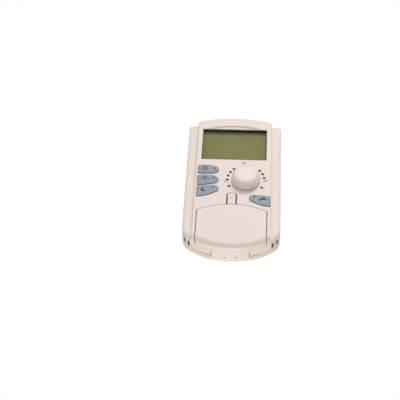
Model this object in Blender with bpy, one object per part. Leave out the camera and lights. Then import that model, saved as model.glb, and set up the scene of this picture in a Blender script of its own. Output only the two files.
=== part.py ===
"""Wall thermostat: a room control unit for a heating circuit, with a display,
a set-point knob, four mode buttons and service keys behind a hinged flap.

All sizes below are millimetres in the unit's own face frame: x to the right,
y up the wall and z out of the wall, from the centre of the wall plate's back.
The empty wall_frame stands that frame upright, so the back lies in the plane
Y = 0 and the face looks along -Y.
"""

import math

import bmesh
import bpy
from mathutils import Matrix, Vector

MM = 0.001

# Housing outline
HALF_WIDTH = 49.0
BOTTOM_Y = -86.0
BOTTOM_RADIUS = 75.0
CORNER_RADIUS = 18.0
WING_TOP_Y = 77.4
WING_INNER_Y = 78.4
WING_TOP_RADIUS = 2.4
REAR_CORNER_RADIUS = 4.8
PANEL_HALF_WIDTH = 39.1
PANEL_TOP_Y = 86.4
ARCH_RADIUS = 150.0
SHOULDER_RADIUS = 4.4

# Layers, as heights above the wall
PLATE_THICKNESS = 2.5
PLATE_RIM_TOP = 6.9
SKIRT_LOW = 7.3
WING_HEIGHT = 21.2
FACE_HEIGHT = 26.0
WALL = 2.0
PANEL_WALL = 2.3
BOARD_LOW = 10.9
BOARD_HIGH = 12.5
GAP = 0.3
REAR_WALL = 1.6

# Display, and the shallow arched pocket that it sits in
DISPLAY_Y = 48.0
BROW_RADIUS = 90.0
BROW_TOP_Y = 74.3
BROW_DEPTH = 0.9
BROW_SPREAD = 18.0
WINDOW_HALF = (34.0, 21.5)
LENS_HALF = (35.6, 23.2)
GLASS_HALF = (35.2, 22.9)

# Knob, its shaft and the bush in the cover
KNOB_X = 13.1
KNOB_Y = -0.8
KNOB_BASE = 26.4
KNOB_TOP = 37.0
KNOB_FOOT_RADIUS = 12.8
KNOB_RADIUS = 14.7
KNOB_DOME = ((14.3, 31.6), (13.5, 33.6), (12.3, 35.4), (11.0, 36.5), (9.6, KNOB_TOP))
SHAFT_RADIUS = 3.0
SHAFT_LOW = 18.1
SHAFT_TOP = 32.6
BUSH_RADII = (4.3, 3.3)
BUSH_TOP = 24.5

# Buttons: a straight outer edge (x, top, low), a round inner end (x, y, radius),
# how far the long sides bow outwards (top, low), and the light window's place
BUTTON_TOP = 27.0
BUTTON_LOW = 22.0
BUTTON_ROUNDING = 0.6
STEM_LOW = 16.5
SWITCH_HEIGHT = 2.8
BUTTONS = {
    "sun": {
        "outer": (-36.2, 17.6, 7.0),
        "end": (-20.2, 12.0, 4.8),
        "bow": (1.1, 0.3),
        "light": (-19.4, 13.0),
    },
    "auto": {
        "outer": (-36.3, 4.1, -8.9),
        "end": (-20.2, -1.3, 5.0),
        "bow": (0.8, 0.3),
        "light": (-19.8, 0.8),
    },
    "moon": {
        "outer": (-36.4, -10.7, -23.9),
        "end": (-19.1, -13.4, 4.4),
        "bow": (0.4, 1.2),
        "light": (-19.9, -11.7),
    },
    "tap": {
        "outer": (38.0, -22.3, -35.0),
        "end": (21.8, -25.1, 4.4),
        "bow": (0.4, 1.2),
        "light": (22.1, -23.6),
    },
}

# Flap, its hinge and its pins
FLAP_HALF_WIDTH = 34.9
FLAP_SIDE_GAP = 0.8
FLAP_TOP_Y = -32.9
FLAP_TOP_RADIUS = 77.0
FLAP_THICKNESS = 2.0
LIP_LOW = 16.8
HINGE_Y = -74.4
HINGE_Z = 23.4
LIP_CLEARANCE = 0.12
LIP_ROUNDING = 3.6
HINGE_BOSS_RADIUS = 1.7
PIN_REACH = 36.8
HINGE_BORE_RADIUS = 1.05
PIN_RADIUS = 0.75

# Latch above the flap
LATCH_X = -0.6
LATCH_HALF_WIDTH = 4.1
LATCH_SLOT = 1.25
LATCH_TOP_Y = -18.4
LATCH_PIVOT = (-20.4, 22.9)

# Service keys under the flap
KEY_FLOOR = 21.5
KEY_ROWS = (-44.5, -54.0)
KEY_COLUMNS = (-20.0, 0.0, 20.0)
KEY_HALF = (4.2, 2.3)
KEY_LOW = 17.4
KEY_TOP = 22.7
MAT_LAYER = (15.4, 16.6)

# Wall plate
CABLE_HALF_WIDTH = 20.0
CABLE_Y = (22.0, 44.0)
TERMINAL_HALF = (15.0, 5.0)
TERMINAL_Y = -12.0
SCREW_PLACES = ((-42.0, 66.0), (42.0, 66.0), (-42.0, -50.0), (42.0, -50.0))
TONGUE_HALF_WIDTH = 19.0
TONGUE_LOW = 0.6
TONGUE_SLIT_TOP = 13.0
AIR_SLOTS = ((-45.9, -73.0), (-41.6, -76.5), (41.6, -76.5), (45.9, -73.0))
AIR_SLOT_LAYER = (8.1, 15.9)

COLOURS = {
    "cover_plastic": ((0.80, 0.70, 0.63), 0.45, 0.0),
    "button_plastic": ((0.26, 0.30, 0.36), 0.40, 0.0),
    "clear_plastic": ((0.80, 0.84, 0.80), 0.05, 0.0),
    "display_glass": ((0.20, 0.21, 0.09), 0.10, 0.0),
    "white_plastic": ((0.85, 0.85, 0.82), 0.35, 0.0),
    "dark_rubber": ((0.05, 0.05, 0.06), 0.80, 0.0),
    "grey_rubber": ((0.35, 0.36, 0.38), 0.75, 0.0),
    "circuit_board": ((0.02, 0.16, 0.07), 0.40, 0.0),
    "component_black": ((0.03, 0.03, 0.03), 0.50, 0.0),
    "light_window": ((0.06, 0.07, 0.08), 0.20, 0.0),
    "steel": ((0.60, 0.60, 0.58), 0.35, 1.0),
    "metal_can": ((0.75, 0.75, 0.76), 0.30, 1.0),
}


def clear_scene():
    for item in list(bpy.data.objects):
        bpy.data.objects.remove(item, do_unlink=True)


# ---------------------------------------------------------------- outlines

def arc(centre, radius, start, end, steps):
    """Points along an arc from one angle to another, in degrees."""
    points = []
    for step in range(steps + 1):
        angle = math.radians(start + (end - start) * step / steps)
        points.append((centre[0] + radius * math.cos(angle), centre[1] + radius * math.sin(angle)))
    return points


def rectangle(x_low, x_high, y_low, y_high):
    return [(x_low, y_low), (x_high, y_low), (x_high, y_high), (x_low, y_high)]


def centred_rectangle(x, y, half_x, half_y):
    return rectangle(x - half_x, x + half_x, y - half_y, y + half_y)


def rounded_rectangle(x, y, half_x, half_y, radius, steps=3):
    points = []
    for turn, (side_x, side_y) in enumerate(((1, -1), (1, 1), (-1, 1), (-1, -1))):
        centre = (x + side_x * (half_x - radius), y + side_y * (half_y - radius))
        points += arc(centre, radius, turn * 90 - 90, turn * 90, steps)
    return points


def circle(x, y, radius, steps=16):
    return arc((x, y), radius, 0, 360, steps)[:-1]


def mirrored(right_half):
    """Closes an outline given from its lowest middle point up its right side."""
    return right_half + [(-x, y) for x, y in reversed(right_half) if x > 1e-6]


def bottom_arc_y(x, radius=BOTTOM_RADIUS):
    """Height of the rounded bottom edge at a distance x from the middle."""
    return BOTTOM_Y + BOTTOM_RADIUS - math.sqrt(radius * radius - x * x)


def offset(outline, distance):
    """Moves every edge of an anticlockwise outline inwards by a distance."""
    count = len(outline)
    result = []
    for index in range(count):
        here = Vector(outline[index])
        before = (here - Vector(outline[index - 1])).normalized()
        after = (Vector(outline[(index + 1) % count]) - here).normalized()
        normal = Vector((-before.y - after.y, before.x + after.x)).normalized()
        lean = normal.dot(Vector((-before.y, before.x)))
        result.append(tuple(here + normal * (distance / max(lean, 0.5))))
    return result


def bottom_edge(half_width, radius=BOTTOM_RADIUS, steps=8):
    """Right half of the rounded bottom edge, from the middle outwards."""
    points = []
    for step in range(steps + 1):
        x = half_width * step / steps
        points.append((x, bottom_arc_y(x, radius)))
    return points


def shoulder_arch():
    """Right half of the panel's top: the shoulder above the wing, then the arch."""
    arch_centre_y = PANEL_TOP_Y - ARCH_RADIUS
    shoulder_x = PANEL_HALF_WIDTH - SHOULDER_RADIUS
    reach = ARCH_RADIUS - SHOULDER_RADIUS
    rise = math.sqrt(reach * reach - shoulder_x * shoulder_x)
    meeting = math.degrees(math.atan2(rise, shoulder_x))
    shoulder = arc((shoulder_x, arch_centre_y + rise), SHOULDER_RADIUS, 0, meeting, 4)
    points = [(PANEL_HALF_WIDTH, WING_INNER_Y)]
    points += [point for point in shoulder if point[1] > WING_INNER_Y + 0.2]
    points += arc((0.0, arch_centre_y), ARCH_RADIUS, meeting, 90, 6)[1:]
    return points


def body_outline(top_radius=WING_TOP_RADIUS):
    """Outer shape of the unit: rounded bottom, straight sides, arched top."""
    centre_y = BOTTOM_Y + BOTTOM_RADIUS
    corner_x = HALF_WIDTH - CORNER_RADIUS
    reach = BOTTOM_RADIUS - CORNER_RADIUS
    drop = math.sqrt(reach * reach - corner_x * corner_x)
    meeting = -math.degrees(math.atan2(drop, corner_x))
    top_centre = (HALF_WIDTH - top_radius, WING_TOP_Y - top_radius)
    right = bottom_edge(PANEL_HALF_WIDTH)
    right += arc((corner_x, centre_y - drop), CORNER_RADIUS, meeting, 0, 5)
    right += arc(top_centre, top_radius, 0, 90, 3)
    right += shoulder_arch()
    return mirrored(right)


def panel_outline():
    """The raised middle of the face, between the two wings."""
    return mirrored(bottom_edge(PANEL_HALF_WIDTH) + shoulder_arch())


def flap_top_edge(half_width, grow=0.0, steps=8):
    """Right half of the flap's arched top edge, from its side to its middle."""
    radius = FLAP_TOP_RADIUS + grow
    points = []
    for step in range(steps + 1):
        x = half_width * (steps - step) / steps
        points.append((x, FLAP_TOP_Y - FLAP_TOP_RADIUS + math.sqrt(radius * radius - x * x)))
    return points


def flap_outline():
    return mirrored(bottom_edge(FLAP_HALF_WIDTH) + flap_top_edge(FLAP_HALF_WIDTH))


def flap_bay_outline():
    """The flap's place in the cover, with a gap round it and open below."""
    side = FLAP_HALF_WIDTH + FLAP_SIDE_GAP
    return mirrored([(0.0, BOTTOM_Y - 10), (side, BOTTOM_Y - 10)] + flap_top_edge(side, 0.35))


def tangent_angle(corner, centre, radius, side):
    """Angle on a circle where the line from a corner touches it."""
    away = Vector(corner) - Vector(centre)
    return math.degrees(math.atan2(away.y, away.x)) + side * math.degrees(math.acos(radius / away.length))


def bowed_side(start, end, bow, steps=4):
    """Points between two corners, bowed to the right of the way along."""
    along = Vector(end) - Vector(start)
    outward = Vector((along.y, -along.x)).normalized()
    points = []
    for step in range(1, steps):
        t = step / steps
        points.append(tuple(Vector(start) + along * t + outward * (bow * 4 * t * (1 - t))))
    return points


def button_outline(shape, grow=0.0):
    """A button, grown by a gap all round for the hole that it sits in."""
    hand = 1 if shape["end"][0] > shape["outer"][0] else -1
    outer_x = shape["outer"][0] * hand - grow
    top, low = shape["outer"][1] + grow, shape["outer"][2] - grow
    centre = (shape["end"][0] * hand, shape["end"][1])
    radius = shape["end"][2] + grow
    first = tangent_angle((outer_x, low), centre, radius, 1)
    last = tangent_angle((outer_x, top), centre, radius, -1)
    end = arc(centre, radius, first % 360 - 360, last % 360, 10)
    points = [(outer_x, low)] + bowed_side((outer_x, low), end[0], shape["bow"][1])
    points += end + bowed_side(end[-1], (outer_x, top), shape["bow"][0])
    points.append((outer_x, top))
    if hand < 0:
        points = [(-x, y) for x, y in reversed(points)]
    return points


def latch_outline(half_width, grow):
    """The latch: straight sides and an arched top."""
    top = LATCH_TOP_Y + grow
    low = FLAP_TOP_Y + 0.5 - grow
    points = [(LATCH_X - half_width, low), (LATCH_X + half_width, low)]
    for step in range(7):
        t = 1 - step / 3
        points.append((LATCH_X + half_width * t, top - 1.6 * t * t))
    return points


# ------------------------------------------------------------------ solids

def finish_mesh(name, shape):
    bmesh.ops.recalc_face_normals(shape, faces=shape.faces)
    mesh = bpy.data.meshes.new(name)
    shape.to_mesh(mesh)
    shape.free()
    return mesh


def prism_mesh(name, outline, low, high, rounding=0.0, rounded_part=None):
    """An outline extruded from one height to another, its front edge rounded."""
    shape = bmesh.new()
    corners = [shape.verts.new((x * MM, y * MM, low * MM)) for x, y in outline]
    base = shape.faces.new(corners)
    raised = bmesh.ops.extrude_face_region(shape, geom=[base])
    top = [item for item in raised["geom"] if isinstance(item, bmesh.types.BMVert)]
    bmesh.ops.translate(shape, verts=top, vec=(0, 0, (high - low) * MM))
    if rounding:
        chosen = []
        for edge in shape.edges:
            on_top = all(abs(vertex.co.z - high * MM) < 1e-7 for vertex in edge.verts)
            if on_top and (rounded_part is None or rounded_part(edge)):
                chosen.append(edge)
        bmesh.ops.bevel(shape, geom=chosen, offset=rounding * MM, segments=3, profile=0.5, affect="EDGES")
    return finish_mesh(name, shape)


def ring_mesh(name, outer, inner, low, high):
    """A flat frame between two outlines with the same number of points."""
    shape = bmesh.new()
    loops = []
    for outline, height in ((outer, low), (outer, high), (inner, high), (inner, low)):
        loops.append([shape.verts.new((x * MM, y * MM, height * MM)) for x, y in outline])
    count = len(outer)
    for index in range(4):
        here, there = loops[index], loops[(index + 1) % 4]
        for point in range(count):
            after = (point + 1) % count
            shape.faces.new((here[point], here[after], there[after], there[point]))
    return finish_mesh(name, shape)


def turned_mesh(name, profile, steps=24):
    """A round solid from (radius, height) points that start and end on the axis."""
    shape = bmesh.new()
    rings = []
    for radius, height in profile:
        if radius < 1e-6:
            rings.append([shape.verts.new((0, 0, height * MM))])
            continue
        ring = circle(0, 0, radius, steps)
        rings.append([shape.verts.new((x * MM, y * MM, height * MM)) for x, y in ring])
    for lower, upper in zip(rings, rings[1:]):
        for step in range(steps):
            after = (step + 1) % steps
            corners = [lower[step % len(lower)], lower[after % len(lower)]]
            corners += [upper[after % len(upper)], upper[step % len(upper)]]
            unique = list(dict.fromkeys(corners))
            shape.faces.new(unique)
    return finish_mesh(name, shape)


def material_for(slot):
    found = bpy.data.materials.get(slot)
    if found:
        return found
    colour, roughness, metallic = COLOURS[slot]
    made = bpy.data.materials.new(slot)
    made.use_nodes = True
    shader = made.node_tree.nodes["Principled BSDF"]
    shader.inputs["Base Color"].default_value = (*colour, 1.0)
    shader.inputs["Roughness"].default_value = roughness
    shader.inputs["Metallic"].default_value = metallic
    return made


def smooth_round(mesh, angle=35):
    mesh.shade_smooth()
    mesh.set_sharp_from_angle(angle=math.radians(angle))


def place(name, mesh, slot, frame, at=(0.0, 0.0, 0.0), smooth=False):
    """Puts a mesh into the face frame as a node with its own material."""
    item = bpy.data.objects.new(name, mesh)
    bpy.context.scene.collection.objects.link(item)
    item.parent = frame
    item.location = Vector(at) * MM
    mesh.materials.append(material_for(slot))
    if smooth:
        smooth_round(mesh)
    return item


def guide(name, mesh, frame, at=(0.0, 0.0, 0.0)):
    """A helper solid that only cuts or joins, and isn't part of the unit."""
    item = bpy.data.objects.new(name, mesh)
    bpy.context.scene.collection.objects.link(item)
    item.parent = frame
    item.location = Vector(at) * MM
    item.hide_render = True
    item.display_type = "WIRE"
    return item


def combine(item, helper, operation):
    step = item.modifiers.new(helper.name, "BOOLEAN")
    step.operation = operation
    step.solver = "EXACT"
    step.object = helper


def cut_prism(item, name, outline, low, high, at=(0.0, 0.0, 0.0)):
    helper = guide(name, prism_mesh(name, outline, low, high), item.parent, at)
    combine(item, helper, "DIFFERENCE")


def join_prism(item, name, outline, low, high):
    helper = guide(name, prism_mesh(name, outline, low, high), item.parent)
    combine(item, helper, "UNION")


def rod_mesh(name, radius, x_low, x_high, steps=12):
    """A round bar along x, from one end to the other."""
    mesh = turned_mesh(name, [(0, x_low), (radius, x_low), (radius, x_high), (0, x_high)], steps)
    mesh.transform(Matrix.Rotation(math.radians(90), 4, "Y"))
    return mesh


# -------------------------------------------------------------- wall plate

def tongue_stop_outline(side):
    """A small block behind the cover's tongue, at one side of the notch."""
    near, far = TONGUE_HALF_WIDTH - 1.6, TONGUE_HALF_WIDTH + 3.0
    front, back = WALL + 0.4, WALL + 2.4
    corners = [(near, bottom_arc_y(near) + front), (far, bottom_arc_y(far) + front)]
    corners += [(far, bottom_arc_y(far) + back), (near, bottom_arc_y(near) + back)]
    if side < 0:
        corners = [(-x, y) for x, y in reversed(corners)]
    return corners


def make_wall_plate(frame):
    outline = body_outline()
    plate = place("wall_plate", prism_mesh("wall_plate", outline, 0, PLATE_RIM_TOP), "cover_plastic", frame)
    cut_prism(plate, "plate_tray", offset(outline, WALL), PLATE_THICKNESS, PLATE_RIM_TOP + 5)
    notch = TONGUE_HALF_WIDTH + GAP
    cut_prism(plate, "plate_notch", rectangle(-notch, notch, BOTTOM_Y - 5, BOTTOM_Y + 10), -1, 30)
    for side in (-1, 1):
        low, high = sorted((side * notch, side * (notch + 10.0)))
        name = "plate_relief_" + ("left" if side < 0 else "right")
        cut_prism(plate, name, rectangle(low, high, BOTTOM_Y - 5, BOTTOM_Y + 12), PLATE_RIM_TOP - 0.6, 30)
    for side in (-1, 1):
        name = "tongue_stop_" + ("left" if side < 0 else "right")
        join_prism(plate, name, tongue_stop_outline(side), 0, PLATE_RIM_TOP - 0.4)
    opening = rounded_rectangle(0, sum(CABLE_Y) / 2, CABLE_HALF_WIDTH, (CABLE_Y[1] - CABLE_Y[0]) / 2, 3)
    cut_prism(plate, "cable_opening", opening, -1, 5)
    for index, (x, y) in enumerate(((0, 68), (0, -52), (-33, 8), (33, 8))):
        half = (5.0, 2.1) if x == 0 else (2.1, 5.0)
        cut_prism(plate, f"screw_slot_{index}", rounded_rectangle(x, y, *half, 2.05), -1, 5)


def make_terminal_block(frame):
    low, high = PLATE_THICKNESS + GAP, 8.6
    outline = centred_rectangle(0, TERMINAL_Y, *TERMINAL_HALF)
    block_mesh = prism_mesh("terminal_block", outline, low, high)
    block = place("terminal_block", block_mesh, "component_black", frame)
    for index, x in enumerate((-7.5, 7.5), start=1):
        cut_prism(block, f"terminal_well_{index}", circle(x, TERMINAL_Y, 2.6, 12), 6.0, 12)
        profile = [(0, 6.3), (2.2, 6.3), (2.2, 7.9), (0, 7.9)]
        mesh = turned_mesh(f"terminal_screw_{index}", profile, 12)
        screw = place(f"terminal_screw_{index}", mesh, "steel", frame, (x, TERMINAL_Y, 0), True)
        slot = centred_rectangle(0, 0, 2.6, 0.35)
        cut_prism(screw, f"terminal_drive_{index}", slot, 7.3, 9, (x, TERMINAL_Y, 0))


# ------------------------------------------------------------ rear housing

def make_rear_housing(frame):
    outline = offset(body_outline(REAR_CORNER_RADIUS), WALL + GAP)
    rim_top = 11.5
    tray_mesh = prism_mesh("rear_housing", outline, SKIRT_LOW, rim_top)
    tray = place("rear_housing", tray_mesh, "cover_plastic", frame)
    floor_top = SKIRT_LOW + REAR_WALL
    cut_prism(tray, "rear_hollow", offset(outline, 1.5), floor_top, rim_top + 5)
    cut_prism(tray, "rear_low_end", rectangle(-60, 60, -95, -57), floor_top, rim_top + 5)
    window = centred_rectangle(0, TERMINAL_Y, TERMINAL_HALF[0] + 1, TERMINAL_HALF[1] + 1)
    cut_prism(tray, "terminal_window", window, 0, 20)
    for index, (x, y) in enumerate(SCREW_PLACES):
        cut_prism(tray, f"rear_screw_hole_{index}", circle(x, y, 1.6, 10), 0, 20)
    for index in range(5):
        y = 48.0 + index * 4.0
        cut_prism(tray, f"rear_vent_{index}", centred_rectangle(0, y, 14, 0.9), 0, 20)
    for index, (x, y) in enumerate(((-33, 66), (33, 66), (-33, -55), (33, -55))):
        join_prism(tray, f"board_post_{index}", circle(x, y, 1.8, 10), SKIRT_LOW + 0.5, BOARD_LOW - GAP)


def make_cover_screws(frame):
    """Four screws that pull the rear housing onto the front cover's bosses."""
    profile = [(0, 5.8), (2.3, 5.8), (2.3, 7.0), (1.1, 7.0), (1.1, 15.0), (0, 15.8)]
    for index, (x, y) in enumerate(SCREW_PLACES, start=1):
        mesh = turned_mesh(f"cover_screw_{index}", profile, 12)
        screw = place(f"cover_screw_{index}", mesh, "steel", frame, (x, y, 0), True)
        for turn, half in enumerate(((1.5, 0.3), (0.3, 1.5))):
            name = f"cover_screw_drive_{index}_{turn}"
            cut_prism(screw, name, centred_rectangle(0, 0, *half), 5, 6.3, (x, y, 0))


# ------------------------------------------------------------- front cover

def lip_well_mesh():
    """The space that the flap's lip turns through, round the hinge line."""
    depth = HINGE_Z - LIP_LOW
    limit = FLAP_HALF_WIDTH + FLAP_SIDE_GAP - 0.1
    steps = 16
    profile = [(0, -limit)]
    for step in range(steps + 1):
        x = -limit + 2 * limit * step / steps
        reach = HINGE_Y - bottom_arc_y(x)
        profile.append((math.hypot(reach, depth) + LIP_CLEARANCE, x))
    profile.append((0, limit))
    mesh = turned_mesh("lip_well", profile, 48)
    mesh.transform(Matrix.Rotation(math.radians(90), 4, "Y"))
    return mesh


def join_cover_frame(cover):
    """Adds the screw bosses, the latch pad, the hinge trough and the key floor."""
    for index, (x, y) in enumerate(SCREW_PLACES):
        join_prism(cover, f"screw_boss_{index}", circle(x, y, 3.0, 12), 9.2, WING_HEIGHT - 1)
    join_prism(cover, "latch_pad", rectangle(-8, 6.8, -23.4, -17.2), 21.0, FACE_HEIGHT - 1)
    trough = mirrored(bottom_edge(37.2, BOTTOM_RADIUS - 1) + [(37.2, -58.6)])
    join_prism(cover, "hinge_trough", trough, 9.2, FACE_HEIGHT - 1)
    floor = [(-37.2, -59.5), (37.2, -59.5), (37.2, -39.5), (8.0, -31.0), (-8.0, -31.0), (-37.2, -39.5)]
    join_prism(cover, "key_floor", floor, KEY_FLOOR - 1.6, FACE_HEIGHT - 1)


def cut_cover_face(cover):
    """Opens the face for the display, knob, buttons, keys, latch and flap."""
    lens_low = FACE_HEIGHT - PANEL_WALL - 6
    cut_prism(cover, "display_cut", centred_rectangle(0, DISPLAY_Y, *WINDOW_HALF), lens_low, 40)
    centre = (0.0, BROW_TOP_Y - BROW_RADIUS)
    brow = arc(centre, BROW_RADIUS, 90 - BROW_SPREAD, 90 + BROW_SPREAD, 12)
    cut_prism(cover, "brow_cut", brow, FACE_HEIGHT - BROW_DEPTH, 40)
    cut_prism(cover, "knob_hole", circle(KNOB_X, KNOB_Y, 4.6, 16), 15, 40)
    for key, shape in BUTTONS.items():
        cut_prism(cover, f"button_cut_{key}", button_outline(shape, GAP), 15, 40)
    cut_prism(cover, "flap_bay", flap_bay_outline(), KEY_FLOOR, 40)
    cut_prism(cover, "latch_bay", latch_outline(LATCH_HALF_WIDTH + LATCH_SLOT, 0.5), 18.0, 40)
    well = guide("lip_well", lip_well_mesh(), cover.parent, (0, HINGE_Y, HINGE_Z))
    combine(cover, well, "DIFFERENCE")
    for index, (x, y) in enumerate(key_places()):
        hole = rounded_rectangle(x, y, KEY_HALF[0] + GAP, KEY_HALF[1] + GAP, 1.2, 2)
        cut_prism(cover, f"key_hole_{index}", hole, 15, 40)


def cut_cover_sides(cover):
    """Drills the hinge, latch and screw holes, and cuts the air slots."""
    reach = PIN_REACH + GAP
    bar = rod_mesh("flap_pin_holes", HINGE_BORE_RADIUS + 0.05, -reach, reach)
    pins = guide("flap_pin_holes", bar, cover.parent, (0, HINGE_Y, HINGE_Z))
    combine(cover, pins, "DIFFERENCE")
    axle_hole = rod_mesh("latch_pin_hole", 0.9, -7.2, 6.0)
    pivot = guide("latch_pin_hole", axle_hole, cover.parent, (0, *LATCH_PIVOT))
    combine(cover, pivot, "DIFFERENCE")
    for index, (x, y) in enumerate(SCREW_PLACES):
        cut_prism(cover, f"boss_bore_{index}", circle(x, y, 1.5, 10), 5, 16.5)
    for index, (x, low_y) in enumerate(AIR_SLOTS):
        slot = rectangle(x - 0.9, x + 0.9, low_y, low_y + 8.5)
        cut_prism(cover, f"air_slot_{index}", slot, *AIR_SLOT_LAYER)
    for index, x in enumerate((-5.4, 5.4)):
        cut_prism(cover, f"release_hole_{index}", rectangle(x - 0.7, x + 0.7, -90, -82), 6.2, 7.8)
    for index, side in enumerate((-1, 1)):
        middle = side * (TONGUE_HALF_WIDTH + GAP / 2)
        slit = rectangle(middle - 0.25, middle + 0.25, -90, -81.7)
        cut_prism(cover, f"tongue_slit_{index}", slit, -1, TONGUE_SLIT_TOP)


def make_front_cover(frame):
    outline = body_outline()
    shell = prism_mesh("front_cover", outline, TONGUE_LOW, WING_HEIGHT, 1.2)
    cover = place("front_cover", shell, "cover_plastic", frame)
    side = TONGUE_HALF_WIDTH
    far = 95.0
    skirt_line = [(-far, -far), (-side, -far), (-side, -70), (side, -70), (side, -far), (far, -far)]
    skirt_line += [(far, far), (-far, far)]
    cut_prism(cover, "skirt_line", skirt_line, -5, SKIRT_LOW)
    panel = guide("panel_block", prism_mesh("panel_block", panel_outline(), 15, FACE_HEIGHT, 0.9), frame)
    combine(cover, panel, "UNION")
    cut_prism(cover, "wing_hollow", offset(outline, WALL), 0, WING_HEIGHT - WALL)
    cut_prism(cover, "panel_hollow", offset(panel_outline(), PANEL_WALL), 0, FACE_HEIGHT - PANEL_WALL)
    join_cover_frame(cover)
    cut_cover_face(cover)
    cut_cover_sides(cover)


# ----------------------------------------------------------------- display

def make_display(frame):
    lens_high = FACE_HEIGHT - PANEL_WALL - GAP
    lens = centred_rectangle(0, DISPLAY_Y, *LENS_HALF)
    window = prism_mesh("display_window", lens, lens_high - 1.2, lens_high)
    place("display_window", window, "clear_plastic", frame)
    gasket = centred_rectangle(0, DISPLAY_Y, WINDOW_HALF[0] + 0.4, WINDOW_HALF[1] + 0.1)
    place("window_gasket", ring_mesh("window_gasket", lens, gasket, 21.1, 21.9), "dark_rubber", frame)
    glass = centred_rectangle(0, DISPLAY_Y, *GLASS_HALF)
    place("lcd_glass", prism_mesh("lcd_glass", glass, 19.0, 20.8), "display_glass", frame)
    outer = centred_rectangle(0, DISPLAY_Y, GLASS_HALF[0] + 1.3, GLASS_HALF[1] + 1.3)
    inner = centred_rectangle(0, DISPLAY_Y, GLASS_HALF[0] + GAP, GLASS_HALF[1] + GAP)
    place("lcd_holder", ring_mesh("lcd_holder", outer, inner, 13.0, 20.8), "white_plastic", frame)
    panel = centred_rectangle(0, DISPLAY_Y, 34.5, 19.5)
    place("backlight_panel", prism_mesh("backlight_panel", panel, 16.0, 18.7), "white_plastic", frame)
    for name, side in (("upper", 1), ("lower", -1)):
        strip = centred_rectangle(0, DISPLAY_Y + side * 21.3, 32, 0.9)
        mesh = prism_mesh(f"lcd_contact_strip_{name}", strip, BOARD_HIGH + GAP, 18.7)
        place(f"lcd_contact_strip_{name}", mesh, "dark_rubber", frame)


# ------------------------------------------------------- board and its parts

def make_board(frame):
    sheet = prism_mesh("main_board", rectangle(-36, 36, -57.5, 70), BOARD_LOW, BOARD_HIGH)
    place("main_board", sheet, "circuit_board", frame)
    connector = centred_rectangle(0, TERMINAL_Y, 12, 3)
    housing = prism_mesh("bus_connector", connector, SKIRT_LOW + REAR_WALL, BOARD_LOW - GAP)
    place("bus_connector", housing, "white_plastic", frame)


def make_board_parts(frame):
    base = BOARD_HIGH + GAP
    chip = centred_rectangle(-2, -12, 6, 6)
    chip_mesh = prism_mesh("controller_chip", chip, base, base + 1.6, 0.3)
    place("controller_chip", chip_mesh, "component_black", frame)
    crystal = rounded_rectangle(-6, 1.5, 5.2, 2.2, 2.1)
    crystal_can = prism_mesh("timing_crystal", crystal, base, base + 3.5, 0.4)
    place("timing_crystal", crystal_can, "metal_can", frame, smooth=True)
    can = [(0, 0), (3.2, 0), (3.2, 0.8), (2.9, 1.1), (3.2, 1.4), (3.2, 6.4), (2.8, 6.8), (0, 6.8)]
    capacitor = turned_mesh("supply_capacitor", can, 20)
    place("supply_capacitor", capacitor, "metal_can", frame, (30, 14, base), True)
    cell = [(0, 0), (5.4, 0), (6.1, 0.4), (6.25, 0.6), (6.25, 2.0), (0, 2.0)]
    place("backup_cell", turned_mesh("backup_cell", cell, 24), "steel", frame, (0, 14, base), True)
    holder = ring_mesh("cell_holder", circle(0, 0, 7.4, 24), circle(0, 0, 6.6, 24), 0, 1.8)
    place("cell_holder", holder, "component_black", frame, (0, 14, base), True)
    bead = [(0, 0), (0.9, 0.2), (1.5, 0.9), (1.6, 1.6), (1.2, 2.5), (0.5, 3.0), (0, 3.1)]
    sensor = turned_mesh("room_sensor", bead, 12)
    place("room_sensor", sensor, "component_black", frame, (31, -50, base), True)


# -------------------------------------------------------------------- knob

def make_knob(frame):
    spindle = (KNOB_X, KNOB_Y, 0)
    base = BOARD_HIGH + GAP
    case = centred_rectangle(KNOB_X, KNOB_Y, 6, 6)
    place("encoder_body", prism_mesh("encoder_body", case, base, 17.8, 0.5), "metal_can", frame)
    outer, inner = (circle(0, 0, radius, 24) for radius in BUSH_RADII)
    bush = ring_mesh("encoder_bush", outer, inner, SHAFT_LOW, BUSH_TOP)
    place("encoder_bush", bush, "steel", frame, spindle, True)
    shaft = [(0, SHAFT_LOW), (SHAFT_RADIUS, SHAFT_LOW), (SHAFT_RADIUS, SHAFT_TOP - 0.4)]
    shaft += [(SHAFT_RADIUS - 0.4, SHAFT_TOP), (0, SHAFT_TOP)]
    place("control_shaft", turned_mesh("control_shaft", shaft, 24), "white_plastic", frame, spindle, True)
    bore = SHAFT_RADIUS + GAP
    relief = KNOB_FOOT_RADIUS - 3.1
    profile = [(0, SHAFT_TOP + 0.4), (bore, SHAFT_TOP + 0.4), (bore, KNOB_BASE + 0.5)]
    profile += [(relief, KNOB_BASE + 0.5), (relief, KNOB_BASE), (KNOB_FOOT_RADIUS, KNOB_BASE)]
    profile += [(KNOB_RADIUS, KNOB_BASE + 2.0), (KNOB_RADIUS, KNOB_BASE + 3.0)]
    profile += [*KNOB_DOME, (0, KNOB_TOP)]
    place("knob", turned_mesh("knob", profile, 36), "cover_plastic", frame, spindle, True)


# ----------------------------------------------------------------- buttons

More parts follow.
